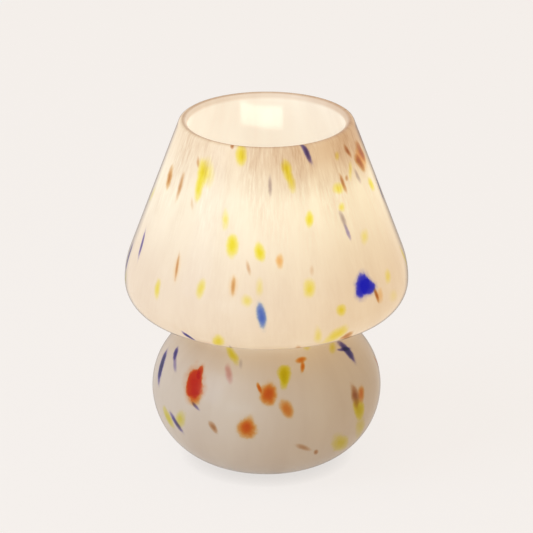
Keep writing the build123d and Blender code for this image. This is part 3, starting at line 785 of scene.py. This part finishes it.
def rounded(corners, curve, parts=4):
    """The corners of a closed outline, each cut to a small arc-like fan of points."""
    made = []
    for before, here, after in zip(corners[-1:] + corners[:-1], corners, corners[1:] + corners[:1]):
        reach = min(curve, abs(before - here) * 0.45, abs(after - here) * 0.45)
        start, end = here + unit(before - here) * reach, here + unit(after - here) * reach
        t = np.linspace(0, 1, parts + 1)
        made.extend((1 - t) ** 2 * start + 2 * t * (1 - t) * here + t ** 2 * end)
    return made


def dress(material, *nodes):
    """Gives CAD nodes a material."""
    for node in nodes:
        bpy.data.objects[node].material_slots[0].material = material


def make_grain_group():
    """Two noises over the surface: a broad one tints and dulls it, a fine one roughens it."""
    group, into, out = new_group(
        "grain", [("Vector", "Vector"), ("Stretch", "Vector"), ("Scale", "Float"),
                  ("Dark", "Color"), ("Light", "Color"), ("Smooth", "Float"), ("Rough", "Float")],
        [("Colour", "Color"), ("Roughness", "Float"), ("Height", "Float")])
    place = scaled(group, into.outputs["Vector"], into.outputs["Stretch"])
    broad = noise(group, place, into.outputs["Scale"], 3.0, 0.55)
    fine = noise(group, place, product(group, into.outputs["Scale"], 6.0))
    share = ranged(group, broad, 0.35, 0.65, 0, 1)
    both = maths(group, "ADD", broad, fine)
    rough = put(group, "MapRange", {0: both, 1: 0.7, 2: 1.3, 3: into.outputs["Smooth"],
                                    4: into.outputs["Rough"]})
    group.links.new(blended(group, share, into.outputs["Dark"], into.outputs["Light"]),
                    out.inputs["Colour"])
    group.links.new(rough.outputs[0], out.inputs["Roughness"])
    group.links.new(both, out.inputs["Height"])
    return group


grain_group = make_grain_group()


def grained(name, dark, light, scale, smooth, rough, bump, stretch=(1, 1, 1), **sockets):
    """A material whose colour, roughness and relief come from the grain group."""
    material, tree = new_material(name)
    grain = put(tree, "Group", {
        "Vector": put(tree, "TexCoord").outputs["Object"], "Stretch": stretch, "Scale": scale,
        "Dark": (*dark, 1), "Light": (*light, 1), "Smooth": smooth, "Rough": rough},
        node_tree=grain_group)
    relief = put(tree, "Bump", {"Height": grain.outputs["Height"], "Distance": bump,
                                "Strength": 0.6})
    named = {name.replace("_", " "): value for name, value in sockets.items()}
    surface(tree, {"Base Color": grain.outputs["Colour"], "Normal": relief,
                   "Roughness": grain.outputs["Roughness"], **named})
    return material


def felt_unevenly(outline, turn):
    """Seeded waves of the felt's edges: a mean of cosines of the turn and the height."""
    dice = np.random.default_rng(felt_seed)
    waves = dice.integers(*felt_turns, felt_waves)
    phases = dice.uniform(0, 2 * pi, felt_waves)
    tilt = dice.uniform(*felt_tilts, felt_waves)
    return felt_unevenness * np.mean([np.cos(w * turn + p + k * outline.imag)
                                      for w, p, k in zip(waves, phases, tilt)], axis=0)


felt_ring = section((felt_inner, 0), (felt_outer, 0), (felt_outer, felt_thickness),
                    (felt_inner, felt_thickness))
pad = lathe("felt_pad", drawn(*rounded(felt_ring, felt_round), step=0.6), felt_segments,
            felt_unevenly)
settle(pad, "root", "foot_pad", grained(
    "felt", (0.20, 0.18, 0.16), (0.34, 0.31, 0.28), 900.0, 0.88, 1.0, 0.0003,
    Sheen_Weight=0.7, Sheen_Roughness=0.6))


# ---- Cord grommet ----
# A soft white rubber grommet, pressed into the hole low at the back of the bowl. It keeps the
# cord off the glass's edge. Slightly dusty in random patches.
dress(grained("white_rubber", (0.68, 0.66, 0.62), (0.74, 0.72, 0.68), 260.0, 0.5, 0.72, 0.00004,
              Specular_IOR_Level=0.4), "cord_grommet")


# ---- Plate in the neck ----
# A pressed steel plate, powder-coated white, with a clear silicone ring on its edge that rests
# on the inside of the neck. It carries the lampholder.
dress(grained("white_paint", (0.76, 0.75, 0.72), (0.79, 0.78, 0.76), 900.0, 0.36, 0.5, 0.00005,
              Coat_Weight=0.15), "support_plate")
dress(grained("clear_silicone", (0.84, 0.84, 0.81), (0.90, 0.90, 0.88), 160.0, 0.30, 0.42,
              0.00003, Transmission_Weight=0.35, IOR=1.41), "plate_ring")


# ---- Leaf springs and rivets ----
# Three blued spring-steel leaves, riveted under the plate with aluminium rivets, which bear
# on the throat of the glass and keep the plate down. Rolling marks run along the strip.
dress(grained("spring_steel", (0.20, 0.22, 0.26), (0.36, 0.37, 0.40), 240.0, 0.22, 0.42, 0.00008,
              stretch=(1, 1, 0.12), Metallic=1.0), "leaf_spring_1", "leaf_spring_2",
      "leaf_spring_3")
dress(grained("rivet_aluminium", (0.66, 0.66, 0.67), (0.80, 0.80, 0.80), 700.0, 0.28, 0.46,
              0.00006, Metallic=1.0), "spring_rivets")


# ---- Nipple, washer, nut and screws ----
# Zinc-plated steel: the hollow threaded tube that joins plate and holder, its toothed washer
# and nut, and the small screws. The plating is mottled, a little yellow in places.
dress(grained("zinc_steel", (0.50, 0.50, 0.47), (0.72, 0.74, 0.76), 520.0, 0.26, 0.50, 0.00007,
              Metallic=1.0), "threaded_nipple", "toothed_washer", "lock_nut",
      "holder_grub_screw", "terminal_screws")


# ---- Lampholder ----
# White moulded plastic: a cap on the nipple and a body whose barrel has the female screw
# thread, with grip ribs round the skirt. Inside are a cream block and two sprung brass strips.
barrel_bore, barrel_thread_depth, thread_pitch = 6.65, 0.25, 2.822
barrel_low, barrel_high, barrel_outer = 123.05, 146.85, 8.35
thread_low, thread_high = 130.6, 146.4
holder_spigot, holder_pocket, holder_low, holder_ledge = 12.05, 10.65, 117.70, 122.65
holder_outer, holder_mouth, holder_inside, holder_top, web_top = 14.0, 13.0, 12.2, 147.65, 125.55
skirt_wall = 1.8
grip_ribs, grip_depth, grip_low, grip_high = 36, 0.35, 124.6, 136.0
holder_fade, holder_segments = 0.8, 240
slot_low, slot_high = (0, -1.6, 122.0), (7.15, 1.6, 130.15)


def fade(height, low, high, run):
    """0 outside low..high and 1 inside, over a run at each end."""
    return np.clip((height - low) / run, 0, 1) * np.clip((high - height) / run, 0, 1)


def screw_thread(height, turn, depth):
    """A round right-hand thread: depth times the cosine of turn less 2 pi height / pitch."""
    return depth * np.cos(turn - 2 * pi * height / thread_pitch)


def holder_swell(outline, turn):
    """The thread in the bore, which opens to its root at the top, and grooves in the skirt."""
    height = outline.imag
    share = fade(height, thread_low, thread_high, holder_fade)
    open_end = barrel_thread_depth * (height > thread_high - 1) * (1 - share)
    wave = share * screw_thread(height, turn, barrel_thread_depth) + open_end
    bore = np.isclose(outline.real, barrel_bore) * wave
    skirt = (outline.real > holder_mouth - 0.1) * fade(height, grip_low, grip_high, holder_fade)
    ribs = grip_depth * np.clip(np.cos(grip_ribs * turn) * 1.5 - 0.2, 0, 1)
    return bore - skirt * ribs


def cut_slot(body, low, high):
    """Cuts a straight box, from its low to its high corner in millimetres, out of a piece."""
    corner = np.array([[x, y, z] for x in (0, 1) for y in (0, 1) for z in (0, 1)])
    faces = [(0, 1, 3, 2), (4, 6, 7, 5), (0, 4, 5, 1), (2, 3, 7, 6), (0, 2, 6, 4), (1, 5, 7, 3)]
    box = add_mesh("slot", np.array(low) + corner * (np.array(high) - np.array(low)), faces)
    cut_out(body, box)


# Its section runs along the bottom, up the skirt and down into the web, and up the barrel.
holder_outline = drawn(*section(
    (barrel_bore, barrel_low), (holder_pocket, barrel_low), (holder_pocket, holder_low),
    (holder_spigot, holder_low), (holder_spigot, holder_ledge), (holder_outer, holder_ledge),
    (holder_mouth, holder_top), (holder_mouth - skirt_wall, holder_top), (holder_inside, web_top),
    (barrel_outer, web_top), (barrel_outer, barrel_high), (barrel_bore, barrel_high)), step=0.4)
holder = lathe("threaded_holder", holder_outline, holder_segments, holder_swell)
cut_slot(holder, slot_low, slot_high)   # lets the side contact's strip through
holder_plastic = grained("holder_plastic", (0.76, 0.75, 0.72), (0.78, 0.77, 0.745), 180.0, 0.30,
                         0.40, 0.00001, Coat_Weight=0.2)
settle(holder, "root", "holder_body", holder_plastic)
dress(holder_plastic, "holder_cap")
dress(grained("insert_plastic", (0.60, 0.54, 0.42), (0.70, 0.64, 0.52), 340.0, 0.42, 0.6,
              0.00008), "holder_insert")
dress(grained("contact_brass", (0.62, 0.44, 0.20), (0.83, 0.64, 0.33), 420.0, 0.2, 0.38, 0.00005,
              stretch=(1, 0.2, 1), Metallic=1.0), "centre_contact", "side_contact")


# ---- Screw shell, insulator and tip of the bulb ----
# Rolled from thin nickel-plated brass: the thread shows outside and in. Its lower edge is
# turned in over a black glass insulator, which holds the soldered tip.
shell_mean, shell_wall, shell_low, shell_high, shell_mouth = 6.55, 0.3, 128.45, 148.05, 4.65
shell_thread_low, shell_thread_high, bulb_segments = 130.6, 147.2, 144
shell_root, shell_corner = shell_mean - barrel_thread_depth, 0.3


def shell_swell(outline, turn):
    """The thread of both faces of the shell, which die out into its plain ends at the root."""
    wall = outline.real > shell_root - shell_wall - 0.05
    run = wall * fade(outline.imag, shell_thread_low, shell_thread_high, 1.0)
    wave = screw_thread(outline.imag, turn, barrel_thread_depth) + barrel_thread_depth
    return run * wave


shell_inner = shell_root - shell_wall
shell_floor = shell_low + shell_wall
shell_outline = drawn(*section(
    (shell_mouth, shell_low), (shell_root - shell_corner, shell_low), (shell_root, shell_floor),
    (shell_root, shell_high), (shell_inner, shell_high), (shell_inner, shell_floor),
    (shell_mouth, shell_floor)), step=0.2)
shell = lathe("rolled_shell", shell_outline, bulb_segments, shell_swell)
settle(shell, "bulb", "bulb_shell", grained(
    "bulb_nickel", (0.58, 0.56, 0.52), (0.78, 0.76, 0.72), 300.0, 0.16, 0.34, 0.00003,
    Metallic=1.0))
dress(grained("bulb_black", (0.015, 0.015, 0.02), (0.035, 0.033, 0.04), 500.0, 0.12, 0.3,
              0.00004, Coat_Weight=0.5), "bulb_insulator")
dress(grained("solder", (0.44, 0.44, 0.44), (0.66, 0.66, 0.64), 900.0, 0.3, 0.6, 0.0001,
              Metallic=1.0), "bulb_tip")


# ---- Housing and globe of the bulb ----
# The white plastic housing swells from the shell to the globe in one smooth S. The globe is
# frosted plastic, lit evenly by the LEDs but dimmer low down, where the housing shades it.
housing_foot, housing_top, housing_low, housing_waist = 8.5, 16.2, 148.05, 150.25
housing_shoulder, housing_high, housing_ledge = 160.1, 165.19, 160.84
housing_pocket, housing_bore, housing_wall = 14.65, 6.05, 1.5
housing_curve, housing_steps, cone_in, cone_down = 0.35, 24, 1, 3
globe_centre, globe_radius, globe_wall = bulb_centre_height, 22.5, 1.2
globe_seat, globe_spigot, globe_spigot_low = housing_high, 14.5, 162.19
globe_low_light, globe_light = (0.28, 0.22, 0.15, 1), (0.47, 0.445, 0.36, 1)
globe_steps, globe_shaded = 48, (0.162, 0.180)


def housing_outline():
    """A slack S from foot to shoulder, part cosine and part sine, and the bore inside."""
    rise = np.linspace(0, 1, housing_steps)
    swell = (1 - np.cos(rise * pi)) / 2 * 0.33 + np.sin(rise * pi / 2) * 0.67
    swell = housing_foot + (housing_top - housing_foot) * swell
    outside = swell + 1j * (housing_waist + (housing_shoulder - housing_waist) * rise)
    inner_top = housing_pocket - housing_wall
    corners = rounded(section(
        (housing_top, housing_high), (housing_pocket, housing_high),
        (housing_pocket, housing_ledge), (inner_top, housing_ledge),
        (inner_top - cone_in, housing_ledge - cone_down), (housing_bore, housing_low + housing_wall),
        (housing_bore, housing_low), (housing_foot, housing_low)), housing_curve, 3)
    return drawn(*outside, *corners, step=0.8)


def globe_outline():
    """Inner pole, inner sphere, spigot, seat, and the outer sphere up to the outer pole."""
    low = asin((globe_seat - globe_centre) / globe_radius)
    inner_radius = globe_radius - globe_wall
    inner_low = asin((globe_seat - globe_centre) / inner_radius)
    up = np.linspace(low, pi / 2, globe_steps)
    down = np.linspace(pi / 2, inner_low, globe_steps)
    outer = globe_centre * 1j + globe_radius * np.exp(1j * up)
    inner = globe_centre * 1j + inner_radius * np.exp(1j * down)
    inner[0], outer[-1] = inner[0].imag * 1j, outer[-1].imag * 1j
    spigot = drawn(inner[-1].real + globe_spigot_low * 1j, globe_spigot + globe_spigot_low * 1j,
                   globe_spigot + globe_seat * 1j)
    return np.concatenate([inner, spigot[:7], outer])


def make_diffuser():
    """Frosted white plastic that glows, dimmer towards its foot."""
    material, tree = new_material("bulb_diffuser")
    place = put(tree, "TexCoord").outputs["Object"]
    height = put(tree, "SeparateXYZ", {0: place}).outputs["Z"]
    lit = ranged(tree, height, *globe_shaded, 0.6, 1.0)
    frost = noise(tree, place, 900.0)
    glow = blended(tree, lit, globe_low_light, globe_light)
    glow = put(tree, "VectorMath", {0: glow, 3: ranged(tree, frost, 0.3, 0.7, 0.97, 1.03)},
               operation="SCALE")
    relief = put(tree, "Bump", {"Height": frost, "Distance": 0.00005})
    surface(tree, {
        "Base Color": blended(tree, frost, (0.52, 0.51, 0.49, 1), (0.58, 0.57, 0.55, 1)),
        "Roughness": ranged(tree, frost, 0.3, 0.7, 0.35, 0.5), "Emission Color": glow,
        "Emission Strength": 1.0, "Normal": relief})
    return material


housing = lathe("bulb_housing", housing_outline(), bulb_segments)
settle(housing, "bulb", "bulb_collar", grained(
    "bulb_housing", (0.82, 0.81, 0.79), (0.84, 0.83, 0.81), 140.0, 0.22, 0.32, 0.00001,
    Coat_Weight=0.3))
globe = revolve("frosted_globe", globe_outline(), bulb_segments)
settle(globe, "bulb", "bulb_globe", make_diffuser())


# ---- Boards inside the bulb ----
# A white-masked aluminium disc carries the eight LEDs, each under a dot of yellow phosphor.
# The green driver board stands upright below it, in the housing.
dress(grained("board_aluminium", (0.72, 0.73, 0.72), (0.84, 0.85, 0.84), 600.0, 0.3, 0.5,
              0.00004), "led_board")
dress(grained("led_phosphor", (0.80, 0.62, 0.12), (0.92, 0.78, 0.25), 1500.0, 0.35, 0.55,
              0.00005, Emission_Color=(1.0, 0.86, 0.6, 1), Emission_Strength=1.5), "led_chips")
dress(grained("board_green", (0.012, 0.10, 0.045), (0.03, 0.20, 0.08), 420.0, 0.25, 0.45,
              0.0001, stretch=(1, 1, 0.3), Coat_Weight=0.4), "driver_board")
